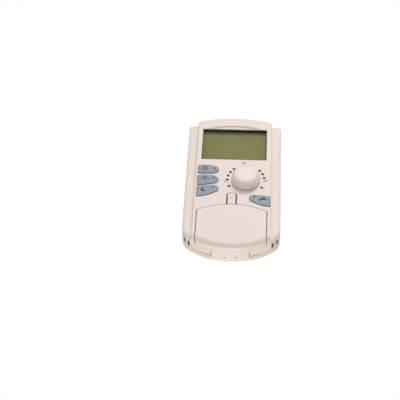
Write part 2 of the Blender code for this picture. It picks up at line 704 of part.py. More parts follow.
def make_button(frame, key, shape):
    """One mode button, its light window, its lamp and the switch under it."""
    outline = button_outline(shape)
    outer_x, outer_top, outer_low = shape["outer"]
    lens_x, lens_y = shape["light"]
    stem_x = (outer_x + lens_x) / 2
    stem_y = (outer_top + outer_low) / 2
    cap_mesh = prism_mesh(f"button_{key}", outline, BUTTON_LOW, BUTTON_TOP, BUTTON_ROUNDING)
    cap = place(f"button_{key}", cap_mesh, "button_plastic", frame)
    stem = centred_rectangle(stem_x, stem_y, 1.5, 1.5)
    join_prism(cap, f"button_stem_{key}", stem, STEM_LOW, BUTTON_LOW + 1)
    cut_prism(cap, f"button_light_way_{key}", circle(lens_x, lens_y, 1.4, 12), 15, 40)
    window = [(0, BUTTON_TOP - 2.4), (1.1, BUTTON_TOP - 2.4), (1.1, BUTTON_TOP - 0.1), (0, BUTTON_TOP)]
    mesh = turned_mesh(f"button_window_{key}", window, 12)
    place(f"button_window_{key}", mesh, "light_window", frame, (lens_x, lens_y, 0), True)
    base = BOARD_HIGH + GAP
    lamp = centred_rectangle(lens_x, lens_y, 1.0, 0.6)
    place(f"lamp_{key}", prism_mesh(f"lamp_{key}", lamp, base, base + 1.1, 0.2), "clear_plastic", frame)
    case = centred_rectangle(stem_x, stem_y, 3.0, 3.0)
    case_mesh = prism_mesh(f"switch_{key}", case, base, base + 2.1)
    switch = place(f"switch_{key}", case_mesh, "component_black", frame)
    plunger = circle(stem_x, stem_y, 1.3, 10)
    join_prism(switch, f"switch_plunger_{key}", plunger, base + 1, base + SWITCH_HEIGHT)


def key_places():
    return [(x, y) for y in KEY_ROWS for x in KEY_COLUMNS]


def make_service_keys(frame):
    for index, (x, y) in enumerate(key_places(), start=1):
        outline = rounded_rectangle(x, y, *KEY_HALF, 1.0, 2)
        name = f"service_key_{index}"
        place(name, prism_mesh(name, outline, KEY_LOW, KEY_TOP, 0.4), "grey_rubber", frame)
    sheet = rectangle(-27, 27, KEY_ROWS[1] - 4, KEY_ROWS[0] + 4)
    place("key_mat", prism_mesh("key_mat", sheet, *MAT_LAYER), "grey_rubber", frame)


# ---------------------------------------------------------- flap and latch

def make_flap(frame):
    """The flap's own origin lies on its hinge line."""
    def lower_edge(edge):
        middle = (edge.verts[0].co + edge.verts[1].co) / (2 * MM)
        return abs(middle.x) < FLAP_HALF_WIDTH - 0.1 and middle.y < HINGE_Y + 4

    mesh = prism_mesh("flap", flap_outline(), LIP_LOW, FACE_HEIGHT, LIP_ROUNDING, lower_edge)
    mesh.transform(Matrix.Translation(Vector((0, -HINGE_Y, -HINGE_Z)) * MM))
    flap = place("flap", mesh, "cover_plastic", frame, (0, HINGE_Y, HINGE_Z))
    inner = []
    for step in range(13):
        x = -36 + 72 * step / 12
        inner.append((x, bottom_arc_y(x, BOTTOM_RADIUS - FLAP_THICKNESS)))
    inner += [(36, -20), (-36, -20)]
    cut_prism(flap, "flap_hollow", inner, 10, FACE_HEIGHT - FLAP_THICKNESS)
    for side, name in ((-1, "left"), (1, "right")):
        make_flap_pin(frame, flap, side, name)


def make_flap_pin(frame, flap, side, name):
    """The boss at one end of the flap's lip, and the steel pin in its bore."""
    hinge = (0, HINGE_Y, HINGE_Z)
    outer = FLAP_HALF_WIDTH - 0.2
    spans = ((outer - 3.4, outer), (outer - 2.6, PIN_REACH + GAP), (outer - 2.3, PIN_REACH))
    boss_ends, bore_ends, pin_ends = (sorted((side * low, side * high)) for low, high in spans)
    boss = rod_mesh(f"flap_boss_{name}", HINGE_BOSS_RADIUS, *boss_ends)
    combine(flap, guide(f"flap_boss_{name}", boss, frame, hinge), "UNION")
    bore = rod_mesh(f"flap_bore_{name}", HINGE_BORE_RADIUS, *bore_ends)
    combine(flap, guide(f"flap_bore_{name}", bore, frame, hinge), "DIFFERENCE")
    pin = rod_mesh(f"flap_pin_{name}", PIN_RADIUS, *pin_ends, 10)
    place(f"flap_pin_{name}", pin, "steel", frame, hinge, True)


def make_latch(frame):
    """The latch's own origin lies on its pivot."""
    pivot_y, pivot_z = LATCH_PIVOT
    mesh = prism_mesh("flap_latch", latch_outline(LATCH_HALF_WIDTH, 0.0), 24.4, FACE_HEIGHT, 0.4)
    mesh.transform(Matrix.Translation(Vector((0, -pivot_y, -pivot_z)) * MM))
    latch = place("flap_latch", mesh, "cover_plastic", frame, (0, pivot_y, pivot_z))
    low, high = LATCH_X - LATCH_HALF_WIDTH + 0.4, LATCH_X + LATCH_HALF_WIDTH - 0.4
    join_prism(latch, "latch_lug", rectangle(low, high, pivot_y - 1.1, pivot_y + 1.1), pivot_z, 25)
    barrel = guide("latch_barrel", rod_mesh("latch_barrel", 1.1, low, high), frame, (0, pivot_y, pivot_z))
    combine(latch, barrel, "UNION")
    axle = guide("latch_axle", rod_mesh("latch_axle", 0.6, -6.9, 5.7, 10), frame, (0, pivot_y, pivot_z))
    combine(latch, axle, "UNION")


def main():
    clear_scene()
    frame = bpy.data.objects.new("wall_frame", None)
    bpy.context.scene.collection.objects.link(frame)
    frame.rotation_euler = (math.radians(90), 0, 0)
    make_wall_plate(frame)
    make_terminal_block(frame)
    make_rear_housing(frame)
    make_cover_screws(frame)
    make_front_cover(frame)
    make_display(frame)
    make_board(frame)
    make_board_parts(frame)
    make_knob(frame)
    for key, shape in BUTTONS.items():
        make_button(frame, key, shape)
    make_service_keys(frame)
    make_flap(frame)
    make_latch(frame)
    bpy.context.view_layer.update()


main()
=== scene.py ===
# %% [markdown]
# # A wall thermostat, piece by piece
# This unit hangs on a wall: two low wings, a raised middle panel, a large display,
# a set-point knob, four mode buttons and a flap that folds down over the service
# keys. The lesson starts from the plain model that fixes every size and joint,
# and makes a finished piece for each part that can be seen.

# %% Load the plain model
import math

import bmesh
import bpy
from mathutils import Matrix, Vector


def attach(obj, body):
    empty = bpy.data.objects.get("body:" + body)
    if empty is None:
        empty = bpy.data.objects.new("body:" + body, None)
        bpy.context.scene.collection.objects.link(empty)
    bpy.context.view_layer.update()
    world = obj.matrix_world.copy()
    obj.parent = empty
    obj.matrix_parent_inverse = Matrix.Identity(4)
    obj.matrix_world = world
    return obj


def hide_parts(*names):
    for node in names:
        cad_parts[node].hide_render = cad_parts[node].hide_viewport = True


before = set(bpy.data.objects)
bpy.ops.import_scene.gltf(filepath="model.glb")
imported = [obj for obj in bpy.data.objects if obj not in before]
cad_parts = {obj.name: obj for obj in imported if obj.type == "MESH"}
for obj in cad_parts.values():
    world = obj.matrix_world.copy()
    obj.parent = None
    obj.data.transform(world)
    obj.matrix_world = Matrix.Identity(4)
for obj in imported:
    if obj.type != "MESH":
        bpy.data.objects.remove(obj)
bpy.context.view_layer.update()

# %% [markdown]
# ## Sizes
# A maker draws this unit on its face: x to the right, y up, z out of the wall, all
# in millimetres from the middle of the wall plate's back. Every outline below is
# worked out from these few sizes, the same ones that the plain model was made to,
# but for BROW_DEPTH: the pocket over the display is 0.5 mm deeper here, to shade it.
# HINGE and LATCH_PIVOT are given as (y, z), since their axles run along x.

# %% Driving sizes
MM = 0.001
HALF_WIDTH = 49.0
BOTTOM_Y = -86.0
BOTTOM_RADIUS = 75.0
CORNER_RADIUS = 18.0
WING_TOP_Y = 77.4
WING_TOP_RADIUS = 2.4
WING_INNER_Y = 78.4
PANEL_HALF_WIDTH = 39.1
PANEL_TOP_Y = 86.4
ARCH_RADIUS = 150.0
SHOULDER_RADIUS = 4.4
WING_Z = 21.2
FACE_Z = 26.0
SKIRT_Z = 7.3
FOOT_BEND = (5.2, 4.3)
WALL = 2.0
BROW_TOP_Y = 74.3
BROW_RADIUS = 90.0
BROW_DEPTH = 1.4
DISPLAY = (0.0, 48.0)
WINDOW_HALF = (34.0, 21.5)
KNOB = (13.1, -0.8)
FLAP_HALF = 34.9
FLAP_TOP_Y = -32.9
FLAP_TOP_RADIUS = 77.0
LIP_LOW = 16.8
HINGE = (-74.4, 23.4)
LATCH_X = -0.6
LATCH_HALF = 4.1
LATCH_TOP_Y = -18.4
LATCH_PIVOT = (-20.4, 22.9)
CAP_TOP = 27.0
TONGUE_HALF = 19.0
KEY_PLACES = [(x, y) for y in (-44.5, -54.0) for x in (-20.0, 0.0, 20.0)]
BUTTONS = {
    "sun": dict(outer=(-36.2, 17.6, 7.0), end=(-20.2, 12.0, 4.8), bow=(1.1, 0.3), light=(-19.4, 13.0)),
    "auto": dict(outer=(-36.3, 4.1, -8.9), end=(-20.2, -1.3, 5.0), bow=(0.8, 0.3), light=(-19.8, 0.8)),
    "moon": dict(outer=(-36.4, -10.7, -23.9), end=(-19.1, -13.4, 4.4), bow=(0.4, 1.2), light=(-19.9, -11.7)),
    "tap": dict(outer=(38.0, -22.3, -35.0), end=(21.8, -25.1, 4.4), bow=(0.4, 1.2), light=(22.1, -23.6)),
}

# %% [markdown]
# ## Node graphs written as sums
# A shader made by hand is a web of small boxes. Written as Python it can read like
# maths instead: a Wire is one output of a box, and adding or multiplying wires adds
# the boxes. The same two classes build the Geometry Nodes trees further down.

# %% A wire and a graph
class Wire:
    """One output of a node, which can be added, multiplied and so on."""

    def __init__(self, graph, socket):
        self.graph = graph
        self.socket = socket

    def maths(self, operation, first, second, clamp=False):
        settings = {"operation": operation, "use_clamp": clamp}
        return self.graph.add("ShaderNodeMath", {0: first, 1: second}, settings)

    def __add__(self, other):
        return self.maths("ADD", self, other)

    __radd__ = __add__

    def __sub__(self, other):
        return self.maths("SUBTRACT", self, other)

    def __rsub__(self, other):
        return self.maths("SUBTRACT", other, self)

    def __mul__(self, other):
        return self.maths("MULTIPLY", self, other)

    __rmul__ = __mul__


class Graph:
    """A node tree with one method that makes any node."""

    def __init__(self, tree):
        self.tree = tree

    def add(self, kind, values=None, settings=None, output=0):
        node = self.tree.nodes.new(kind)
        for name, value in (settings or {}).items():
            setattr(node, name, value)
        self.fill(node, values or {})
        return Wire(self, node.outputs[output])

    def fill(self, node, values):
        for name, value in values.items():
            self.feed(node.inputs[name], value)

    def noise(self, place, scale, detail=2.0):
        return self.add("ShaderNodeTexNoise", {"Vector": place, "Scale": scale, "Detail": detail})

    def blend(self, share, first, second):
        """A colour between two colours. A plain Math node would turn them grey."""
        return self.add("ShaderNodeMix", {0: share, 6: first, 7: second}, {"data_type": "RGBA"}, output=2)

    def feed(self, socket, value):
        if isinstance(value, Wire):
            self.tree.links.new(value.socket, socket)
        else:
            socket.default_value = value


def linear(red, green, blue):
    """A colour given in 0-255 display values, as the light that a shader works in."""
    channels = []
    for value in (red, green, blue):
        share = value / 255
        channels.append(share / 12.92 if share <= 0.04045 else ((share + 0.055) / 1.055) ** 2.4)
    return (*channels, 1.0)


print("graph helpers ready")

# %% [markdown]
# ## Moulded plastic
# Nearly the whole unit is injection-moulded ABS. Its tool is spark-eroded, which
# leaves a fine even grain, and the colour drifts a little across a large moulding.
# Corners that fingers and sleeves touch become slightly smoother and paler. Noise
# gives the grain and the drift, and the Bevel node finds the edges: where its
# rounded normal leaves the true normal, there is an edge.

# %% Recipe for moulded plastic
def new_finish(name):
    """A material with its graph, its shader and the place on the object as a wire."""
    made = bpy.data.materials.new(name)
    made.use_nodes = True
    graph = Graph(made.node_tree)
    place = graph.add("ShaderNodeTexCoord", output="Object")
    return made, graph, made.node_tree.nodes["Principled BSDF"], place


def edge_mask(graph, width):
    """0 on open surfaces, and towards 1 on edges and in corners."""
    soft = graph.add("ShaderNodeBevel", {"Radius": width}, {"samples": 4})
    true = graph.add("ShaderNodeNewGeometry", output="Normal")
    settings = {"operation": "DOT_PRODUCT"}
    alike = graph.add("ShaderNodeVectorMath", {0: soft, 1: true}, settings, output="Value")
    return alike.maths("MULTIPLY", 1.0 - alike, 4.0, clamp=True)


def moulded(name, colour, drift, roughness, grain=1.0, worn=0.2):
    """Spark-grained plastic: two colours that drift, fine grain and rubbed edges."""
    made, graph, shader, place = new_finish(name)
    cloud = graph.noise(place, 28.0, 3.0)
    speck = graph.noise(place, 2600.0)
    edge = edge_mask(graph, 0.0006)
    pale = tuple(min(1.0, channel * 1.12) for channel in colour[:3]) + (1.0,)
    bump = {"Height": speck, "Strength": 0.35 * grain, "Distance": 0.00004}
    graph.fill(shader, {
        "Base Color": graph.blend(edge * worn, graph.blend(cloud, colour, drift), pale),
        "Roughness": roughness + (speck - 0.5) * 0.10 - edge * 0.10,
        "Normal": graph.add("ShaderNodeBump", bump),
    })
    return made


cover_white = moulded("cover_abs", linear(235, 222, 214), linear(231, 217, 208), 0.46)
housing_white = moulded("housing_abs", linear(229, 215, 203), linear(224, 209, 196), 0.52)
knob_white = moulded("knob_abs", linear(238, 225, 220), linear(234, 220, 215), 0.42)
button_blue = moulded("button_abs", linear(140, 147, 159), linear(134, 142, 156), 0.40, worn=0.25)
key_grey = moulded("key_silicone", linear(168, 170, 174), linear(160, 163, 168), 0.70, grain=0.5, worn=0.1)
mat_grey = moulded("mat_silicone", linear(120, 122, 126), linear(112, 115, 120), 0.80, grain=0.5, worn=0.1)
ink = moulded("printed_ink", linear(14, 11, 10), linear(10, 8, 8), 0.60, grain=0.3, worn=0.0)
pale_ink = moulded("pale_ink", linear(92, 82, 76), linear(84, 76, 70), 0.60, grain=0.3, worn=0.0)
button_ink = moulded("button_ink", linear(38, 42, 54), linear(34, 38, 50), 0.55, grain=0.3, worn=0.0)
black_part = moulded("component_black", linear(38, 38, 40), linear(30, 30, 32), 0.50, grain=0.6)
# Black rubber for the gasket and the contact strips. On the window's lip it also paints the shade that falls
# inside the display opening.
black_and_shade_liner = moulded("black_and_shade_liner", linear(34, 32, 26), linear(26, 24, 18), 0.55, grain=0.4, worn=0.1)
print("plastics:", cover_white.name, housing_white.name, knob_white.name, button_blue.name)

# %% [markdown]
# ## The display's finishes
# A reflective liquid-crystal cell looks olive because light passes its polarisers
# twice. The tone drifts a little from side to side, and a very fine mask of dots
# breaks it up. The window over it is clear acrylic and nearly invisible. The lamp
# windows in the buttons are a smooth plastic, smoked so dark that it looks solid.

# %% Recipes for the display
def olive_cell(name):
    made, graph, shader, place = new_finish(name)
    across = graph.add("ShaderNodeSeparateXYZ", {"Vector": place}) * 7.0 + 0.5
    fibre = graph.noise(place, 1800.0, 1.0)
    share = across.maths("ADD", across, (graph.noise(place, 60.0) - 0.5) * 0.5, clamp=True)
    tone = graph.blend(share, linear(120, 121, 64), linear(122, 120, 58))
    graph.fill(shader, {
        "Base Color": graph.blend(fibre * 0.06, tone, linear(104, 104, 62)),
        "Roughness": 0.45 + (fibre - 0.5) * 0.06,
        "Specular IOR Level": 0.15,
    })
    return made


def acrylic(name, tint, alpha):
    made, graph, shader, place = new_finish(name)
    haze = graph.noise(place, 90.0)
    graph.fill(shader, {"Base Color": tint, "Roughness": 0.05 + haze * 0.06, "Alpha": alpha,
                        "Specular IOR Level": 0.3})
    return made


display_olive = olive_cell("display_cell")
clear_window = acrylic("clear_window", linear(236, 238, 230), 0.02)
smoked_window = moulded("smoked_window", linear(42, 42, 52), linear(36, 36, 46), 0.18, grain=0.1, worn=0.1)
print("display finishes:", display_olive.name, clear_window.name)

# %% [markdown]
# ## Board and metal
# The inner parts show only when the unit is opened, but they get their own finish:
# a green solder mask with darker tracks under it, and metal with fine drawing lines.

# %% Recipes for the board and for metal
def solder_mask(name):
    made, graph, shader, place = new_finish(name)
    values = {"Vector": place, "Scale": 160.0, "Mortar Size": 0.12}
    bricks = graph.add("ShaderNodeTexBrick", values, {"offset": 0.5})
    tracks = graph.add("ShaderNodeRGBToBW", {"Color": bricks})
    colour = graph.blend(tracks, linear(24, 96, 58), linear(34, 122, 74))
    graph.fill(shader, {"Base Color": colour, "Roughness": 0.30 + tracks * 0.1})
    return made


def drawn_metal(name, colour, roughness):
    made, graph, shader, place = new_finish(name)
    stretch = graph.add("ShaderNodeMapping", {"Vector": place, "Scale": (400.0, 400.0, 6000.0)})
    lines = graph.noise(stretch, 1.0, 3.0)
    darker = tuple(channel * 0.8 for channel in colour[:3]) + (1.0,)
    bump = {"Height": lines, "Strength": 0.2, "Distance": 0.00003}
    graph.fill(shader, {
        "Base Color": graph.blend(lines, colour, darker),
        "Roughness": roughness + (lines - 0.5) * 0.2,
        "Normal": graph.add("ShaderNodeBump", bump),
        "Metallic": 1.0,
    })
    return made


board_green = solder_mask("solder_mask")
plated_steel = drawn_metal("plated_steel", linear(196, 196, 192), 0.30)
drawn_can = drawn_metal("drawn_can", linear(214, 214, 216), 0.26)
reflector_white = moulded("reflector_white", linear(240, 240, 236), linear(234, 234, 228), 0.35, grain=0.3)
print("metals:", plated_steel.name, drawn_can.name)

# %% [markdown]
# ## Outlines
# The unit's outer shape is a chain of arcs: a large arc below, two corners, straight
# sides and a shallow arch between two shoulders. Arcs are stepped finely here, since
# these meshes are for looking at and not for collision.

# %% Arcs and edges
EDGE_STEPS = 24


def arc(centre, radius, start, end, steps):
    points = []
    for step in range(steps + 1):
        angle = math.radians(start + (end - start) * step / steps)
        points.append((centre[0] + radius * math.cos(angle), centre[1] + radius * math.sin(angle)))
    return points


def circle(centre, radius, steps=48):
    return arc(centre, radius, 0, 360, steps)[:-1]


def rectangle(x_low, x_high, y_low, y_high):
    return [(x_low, y_low), (x_high, y_low), (x_high, y_high), (x_low, y_high)]


def rounded_rectangle(centre, half_x, half_y, radii, steps=6):
    """Corner radii run from the lower right, anticlockwise, or are one number."""
    radii = radii if isinstance(radii, tuple) else (radii,) * 4
    points = []
    for turn, (side_x, side_y) in enumerate(((1, -1), (1, 1), (-1, 1), (-1, -1))):
        radius = radii[turn]
        middle = (centre[0] + side_x * (half_x - radius), centre[1] + side_y * (half_y - radius))
        points += arc(middle, radius, turn * 90 - 90, turn * 90, steps)
    return points


def mirrored(right_half):
    return right_half + [(-x, y) for x, y in reversed(right_half) if x > 1e-6]


def bottom_arc_y(x, radius=BOTTOM_RADIUS):
    return BOTTOM_Y + BOTTOM_RADIUS - math.sqrt(radius * radius - x * x)


def bottom_edge(half_width, radius=BOTTOM_RADIUS):
    points = []
    for step in range(EDGE_STEPS + 1):
        x = half_width * step / EDGE_STEPS
        points.append((x, bottom_arc_y(x, radius)))
    return points


def flap_top_edge(half_width, grow=0.0):
    radius = FLAP_TOP_RADIUS + grow
    points = []
    for step in range(EDGE_STEPS + 1):
        x = half_width * (EDGE_STEPS - step) / EDGE_STEPS
        points.append((x, FLAP_TOP_Y - FLAP_TOP_RADIUS + math.sqrt(radius * radius - x * x)))
    return points


def shoulder_arch():
    arch_y = PANEL_TOP_Y - ARCH_RADIUS
    shoulder_x = PANEL_HALF_WIDTH - SHOULDER_RADIUS
    reach = ARCH_RADIUS - SHOULDER_RADIUS
    rise = math.sqrt(reach * reach - shoulder_x * shoulder_x)
    meeting = math.degrees(math.atan2(rise, shoulder_x))
    shoulder = arc((shoulder_x, arch_y + rise), SHOULDER_RADIUS, 0, meeting, 12)
    points = [(PANEL_HALF_WIDTH, WING_INNER_Y)]
    points += [point for point in shoulder if point[1] > WING_INNER_Y + 0.2]
    points += arc((0.0, arch_y), ARCH_RADIUS, meeting, 90, 20)[1:]
    return points


def body_outline():
    centre_y = BOTTOM_Y + BOTTOM_RADIUS
    corner_x = HALF_WIDTH - CORNER_RADIUS
    reach = BOTTOM_RADIUS - CORNER_RADIUS
    drop = math.sqrt(reach * reach - corner_x * corner_x)
    meeting = -math.degrees(math.atan2(drop, corner_x))
    right = bottom_edge(PANEL_HALF_WIDTH)
    right += arc((corner_x, centre_y - drop), CORNER_RADIUS, meeting, 0, 16)
    top_centre = (HALF_WIDTH - WING_TOP_RADIUS, WING_TOP_Y - WING_TOP_RADIUS)
    right += arc(top_centre, WING_TOP_RADIUS, 0, 90, 8)
    right += shoulder_arch()
    return mirrored(right)


def panel_outline():
    return mirrored(bottom_edge(PANEL_HALF_WIDTH) + shoulder_arch())


def flap_outline():
    return mirrored(bottom_edge(FLAP_HALF) + flap_top_edge(FLAP_HALF))


print("body outline:", len(body_outline()), "points")

# %% [markdown]
# ## Solids from layers
# Each moulding is drawn as a stack of layers, and each layer is the outline moved
# inwards a little. A quarter round at the top edge is then a few layers whose inset
# and height follow a sine and a cosine. How far each corner rounds may depend on
# where it is, which lets the panel's arch be rounder than its straight sides.

# %% Layers, lofts and cuts
def corner_normals(outline):
    """The inward direction at each corner, long enough to keep edges parallel."""
    count = len(outline)
    normals = []
    for index in range(count):
        here = Vector(outline[index])
        before = (here - Vector(outline[index - 1])).normalized()
        after = (Vector(outline[(index + 1) % count]) - here).normalized()
        inward = Vector((-before.y - after.y, before.x + after.x)).normalized()
        lean = max(inward.dot(Vector((-before.y, before.x))), 0.5)
        normals.append(inward / lean)
    return normals


def inset(outline, distance):
    return [tuple(Vector(p) + n * distance) for p, n in zip(outline, corner_normals(outline))]


def as_mesh(name, shape):
    """A bmesh written out and freed."""
    mesh = bpy.data.meshes.new(name)
    shape.to_mesh(mesh)
    shape.free()
    return mesh


def loft(name, layers):
    """A closed solid through layers of 3-D points with the same count."""
    shape = bmesh.new()
    rows = [[shape.verts.new(Vector(point) * MM) for point in layer] for layer in layers]
    count = len(rows[0])
    for low, high in zip(rows, rows[1:]):
        for index in range(count):
            after = (index + 1) % count
            shape.faces.new((low[index], low[after], high[after], high[index]))
    shape.faces.new(list(reversed(rows[0])))
    shape.faces.new(rows[-1])
    bmesh.ops.recalc_face_normals(shape, faces=shape.faces)
    return as_mesh(name, shape)


def moulding(name, outline, low, high, rounding, steps=6):
    """An outline raised from low to high, its upper edge a quarter round. For each
    corner, rounding(point, normal) gives how far it moves and how deep it drops."""
    sizes = [rounding(Vector(point), normal) for point, normal in zip(outline, corner_normals(outline))]
    layers = [[(x, y, low) for x, y in outline]]
    for step in range(steps + 1):
        angle = math.radians(90 * step / steps)
        layer = []
        for (x, y), (move, depth) in zip(outline, sizes):
            share = 1 - math.cos(angle)
            layer.append((x + move.x * share, y + move.y * share, high - depth * (1 - math.sin(angle))))
        layers.append(layer)
    return loft(name, layers)


def evenly(width, depth=None):
    """The same rounding all round."""
    return lambda point, normal: (normal * width, width if depth is None else depth)


def ramp(value, low, high):
    """0 below low, 1 above high and an even S between them."""
    t = min(max((value - low) / (high - low), 0.0), 1.0)
    return t * t * (3 - 2 * t)


def bent_foot(half_width, width, depth, eased):
    """A large bend along the curved lower edge, which runs straight out at the flat
    sides. Further up, the sides and the top are only eased."""
    corner_y = bottom_arc_y(half_width)

    def rounding(point, normal):
        bend = 1 - ramp(point.y, corner_y, corner_y + 14)
        tilt = math.asin(min(abs(point.x), half_width) / BOTTOM_RADIUS)
        small_width, small_depth = eased(point)
        move = normal * (small_width * (1 - bend)) + Vector((0, width / math.cos(tilt))) * bend
        return move, small_depth + (depth - small_depth) * bend
    return rounding


def prism(name, outline, low, high):
    return loft(name, [[(x, y, z) for x, y in outline] for z in (low, high)])


def hole(name, outline, low, face, lip, steps=4):
    """A cutter whose mouth flares at the face, so that the hole's rim is rounded."""
    normals = corner_normals(outline)
    layers = [[(x, y, low) for x, y in outline]]
    for step in range(steps + 1):
        angle = math.radians(90 * step / steps)
        move = lip * (1 - math.cos(angle))
        height = face - lip + lip * math.sin(angle)
        layers.append([(x - n.x * move, y - n.y * move, height) for (x, y), n in zip(outline, normals)])
    layers.append([(x, y, face + 8.0) for x, y, _ in layers[-1]])
    return loft(name, layers)


def turned(name, profile, steps=96):
    """A turned solid. A radius of 0 closes it on the axis."""
    angles = [2 * math.pi * step / steps for step in range(steps)]
    shape = bmesh.new()
    rows = []
    for radius, height in profile:
        row = []
        for angle in angles if radius > 1e-6 else angles[:1]:
            x, y = radius * math.cos(angle), radius * math.sin(angle)
            row.append(shape.verts.new((x * MM, y * MM, height * MM)))
        rows.append(row)
    for low, high in zip(rows, rows[1:]):
        for step in range(steps):
            near, far = step, (step + 1) % steps
            lower = [low[near % len(low)], low[far % len(low)]]
            upper = [high[far % len(high)], high[near % len(high)]]
            shape.faces.new(list(dict.fromkeys(lower + upper)))
    bmesh.ops.recalc_face_normals(shape, faces=shape.faces)
    return as_mesh(name, shape)


def laid_along_x(mesh, centre):
    """A turned mesh laid over, so that its axis runs along x through (y, z)."""
    mesh.transform(Matrix.Translation(Vector((0, *centre)) * MM) @ Matrix.Rotation(math.radians(90), 4, "Y"))
    return mesh


def rod(name, radius, x_low, x_high, centre):
    profile = [(0, x_low), (radius, x_low), (radius, x_high), (0, x_high)]
    return laid_along_x(turned(name, profile, 24), centre)


def moved(mesh, x, y, z=0.0):
    mesh.transform(Matrix.Translation(Vector((x, y, z)) * MM))
    return mesh


print("solid helpers ready")

# %% [markdown]
# ## Joining and cutting
# Bosses, pockets and holes are joined and cut with Boolean modifiers. Their result
# is read back as a plain mesh. Its wide flat faces keep an even shade because the
# Weighted Normal modifier lets the largest face at a corner set that corner's normal.

# %% Boolean assembly, shading and standing up
STAND = Matrix.Rotation(math.radians(90), 4, "X")
SHARP_DEGREES = 28


def linked(name, data):
    """A new object in the scene that shows the mesh, curve, lamp or camera."""
    item = bpy.data.objects.new(name, data)
    bpy.context.scene.collection.objects.link(item)
    return item


def read_back(item):
    """The object's mesh with its modifiers worked in, and the object removed."""
    bpy.context.view_layer.update()
    result = bpy.data.meshes.new_from_object(item.evaluated_get(bpy.context.evaluated_depsgraph_get()))
    bpy.data.objects.remove(item, do_unlink=True)
    return result


def cut(mesh):
    return "DIFFERENCE", mesh


def join(mesh):
    return "UNION", mesh


def carve(body, steps):
    """Works a list of cuts and joins into a body's mesh, in order."""
    item = linked(body.name, body)
    helpers = []
    for operation, mesh in steps:
        helpers.append(linked(mesh.name, mesh))
        modifier = item.modifiers.new(mesh.name, "BOOLEAN")
        modifier.operation = operation
        modifier.solver = "EXACT"
        modifier.object = helpers[-1]
    result = read_back(item)
    for helper in helpers:
        bpy.data.objects.remove(helper, do_unlink=True)
    return result


def shaded(mesh):
    """Smooth shading with crisp edges, and normals weighted by face size."""
    mesh.shade_smooth()
    mesh.set_sharp_from_angle(angle=math.radians(SHARP_DEGREES))
    item = linked(mesh.name, mesh)
    weigh = item.modifiers.new("weigh", "WEIGHTED_NORMAL")
    weigh.keep_sharp = True
    return read_back(item)


def piece(name, mesh, material, body, nodes=()):
    """Finishes a mesh drawn on its face: shaded, stood upright and riding a body."""
    done = shaded(mesh)
    done.transform(STAND)
    done.name = name
    done.materials.clear()
    done.materials.append(material)
    item = linked(name, done)
    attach(item, body)
    for node in nodes:
        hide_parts(node)
    print(name, len(done.polygons), "faces")


def joined(name, meshes):
    """Several separate solids as one mesh."""
    shape = bmesh.new()
    for mesh in meshes:
        shape.from_mesh(mesh)
    return as_mesh(name, shape)


print("assembly helpers ready")

# %% [markdown]
# ## Copies in a row and copies in a ring
# Dots, flutes, slots and ribs repeat at even steps. A Geometry Nodes tree places
# them, so a count or a pitch is one input and not a loop of copied objects. Each
# tree ends by making the copies real and giving them their material.

# %% Two Geometry Nodes trees
def new_tree(name, inputs):
    """A geometry tree with named inputs, its graph and the wires of those inputs."""
    tree = bpy.data.node_groups.new(name, "GeometryNodeTree")
    tree.interface.new_socket("Geometry", in_out="OUTPUT", socket_type="NodeSocketGeometry")
    tree.interface.new_socket("Geometry", in_out="INPUT", socket_type="NodeSocketGeometry")
    for label, kind in inputs.items():
        tree.interface.new_socket(label, in_out="INPUT", socket_type=kind)
    graph = Graph(tree)
    entry = tree.nodes.new("NodeGroupInput")
    wires = {socket.name: Wire(graph, socket) for socket in entry.outputs if socket.name}
    return tree, graph, wires


def finish_tree(tree, graph, wires, points, rotation=None):
    values = {"Points": points, "Instance": wires["Geometry"]}
    if rotation is not None:
        values["Rotation"] = rotation
    copies = graph.add("GeometryNodeInstanceOnPoints", values)
    real = graph.add("GeometryNodeRealizeInstances", {"Geometry": copies})
    dressed = graph.add("GeometryNodeSetMaterial", {"Geometry": real, "Material": wires["Material"]})
    end = tree.nodes.new("NodeGroupOutput")
    tree.links.new(dressed.socket, end.inputs["Geometry"])
    return tree


def row_tree():
    """Copies of the input mesh in a straight row that starts where it is drawn."""
    kinds = {"Count": "NodeSocketInt", "Step": "NodeSocketVector", "Material": "NodeSocketMaterial"}
    tree, graph, wires = new_tree("row_of_copies", kinds)
    line = graph.add("GeometryNodeMeshLine", {"Count": wires["Count"], "Offset": wires["Step"]})
    return finish_tree(tree, graph, wires, line)


def ring_tree():
    """Copies on a circle round the origin, from a first angle on in even steps."""
    kinds = {"Count": "NodeSocketInt", "Radius": "NodeSocketFloat", "First": "NodeSocketFloat",
             "Step": "NodeSocketFloat", "Material": "NodeSocketMaterial"}
    tree, graph, wires = new_tree("ring_of_copies", kinds)
    line = graph.add("GeometryNodeMeshLine", {"Count": wires["Count"]})
    index = graph.add("GeometryNodeInputIndex")
    angle = wires["First"] + index * wires["Step"]
    across = graph.add("ShaderNodeMath", {0: angle}, {"operation": "SINE"}) * wires["Radius"]
    upward = graph.add("ShaderNodeMath", {0: angle}, {"operation": "COSINE"}) * wires["Radius"]
    place = graph.add("ShaderNodeCombineXYZ", {"X": across, "Y": upward})
    points = graph.add("GeometryNodeSetPosition", {"Geometry": line, "Position": place})
    turn = graph.add("ShaderNodeCombineXYZ", {"Z": 0.0 - angle})
    return finish_tree(tree, graph, wires, points, turn)


ROW = row_tree()
RING = ring_tree()


def repeated(tree, mesh, material, **inputs):
    """Runs a tree on one mesh and returns all the copies as a plain mesh."""
    item = linked(mesh.name, mesh)
    modifier = item.modifiers.new("copies", "NODES")
    modifier.node_group = tree
    values = {"Material": material, **inputs}
    for socket in tree.interface.items_tree:
        if socket.in_out == "INPUT" and socket.name in values:
            modifier[socket.identifier] = values[socket.name]
    return read_back(item)


def row(mesh, count, step, material):
    return repeated(ROW, mesh, material, Count=count, Step=[side * MM for side in step])


def ring(mesh, count, radius, first, step, material):
    """Angles are in degrees, clockwise from the top as on a clock."""
    return repeated(RING, mesh, material, Count=count, Radius=radius * MM,
                    First=math.radians(first), Step=math.radians(step))


print("trees:", ROW.name, RING.name)

